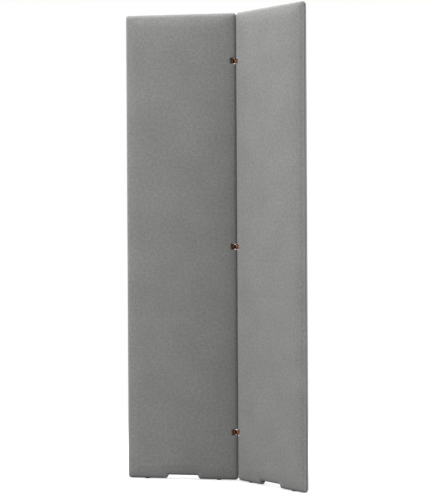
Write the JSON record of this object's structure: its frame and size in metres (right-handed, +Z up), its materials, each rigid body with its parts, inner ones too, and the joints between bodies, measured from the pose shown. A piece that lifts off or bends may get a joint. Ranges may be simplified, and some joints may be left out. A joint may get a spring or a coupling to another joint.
{
  "type": "acoustic partition",
  "caption": "Free-standing folding acoustic screen: tall cloth-covered leaves with rounded edges and notched feet, joined by double-acting copper hinges.",
  "frame": {"origin": "on the floor under the middle of the whole screen's box, opened as in the picture", "axes": "+Z up; +X from the left leaf to the right leaf; the V opens towards -Y, the side that the picture shows"},
  "size_m": [0.7493, 0.171, 1.65],
  "materials": {
    "wool_cloth": "mottled mid-grey woven wool cloth",
    "felt_wadding": "soft polyester felt",
    "timber": "planed pine",
    "absorber": "pressed mineral fibre slab",
    "nylon": "moulded nylon",
    "copper_plate": "polished copper plating",
    "steel": "bright zinc-plated steel",
    "bush_plastic": "self-lubricating plain bush plastic"
  },
  "bodies": {
    "left_leaf": {"left_front_cover": "wool_cloth", "left_back_cover": "wool_cloth", "left_edge_seam": "wool_cloth", "left_front_wadding": "felt_wadding", "left_back_wadding": "felt_wadding", "left_hinge_stile": "timber", "left_free_stile": "timber", "left_top_rail": "timber", "left_middle_rail": "timber", "left_bottom_rail": "timber", "left_frame_dowels": "timber", "left_upper_core": "absorber", "left_lower_core": "absorber", "left_glides": "nylon", "left_hinge_brackets": "copper_plate", "left_bracket_screws": "steel", "left_pivot_pins": "steel"},
    "right_leaf": {"right_front_cover": "wool_cloth", "right_back_cover": "wool_cloth", "right_edge_seam": "wool_cloth", "right_front_wadding": "felt_wadding", "right_back_wadding": "felt_wadding", "right_hinge_stile": "timber", "right_free_stile": "timber", "right_top_rail": "timber", "right_middle_rail": "timber", "right_bottom_rail": "timber", "right_frame_dowels": "timber", "right_upper_core": "absorber", "right_lower_core": "absorber", "right_glides": "nylon", "right_hinge_brackets": "copper_plate", "right_bracket_screws": "steel", "right_pivot_pins": "steel"},
    "hinge_links": {"upper_hinge_link": "copper_plate", "middle_hinge_link": "copper_plate", "lower_hinge_link": "copper_plate", "left_pivot_bushes": "bush_plastic", "right_pivot_bushes": "bush_plastic"}
  },
  "joints": [
    {"name": "left_pivot", "type": "hinge", "parent": "left_leaf", "child": "hinge_links", "pos_m": [-0.0174, 0.07099, 0.825], "axis": [0, 0, 1], "range_deg": [-66, 111]},
    {"name": "right_pivot", "type": "hinge", "parent": "hinge_links", "child": "right_leaf", "pos_m": [0.0174, 0.07099, 0.825], "axis": [0, 0, 1], "range_deg": [-66, 111]}
  ]
}
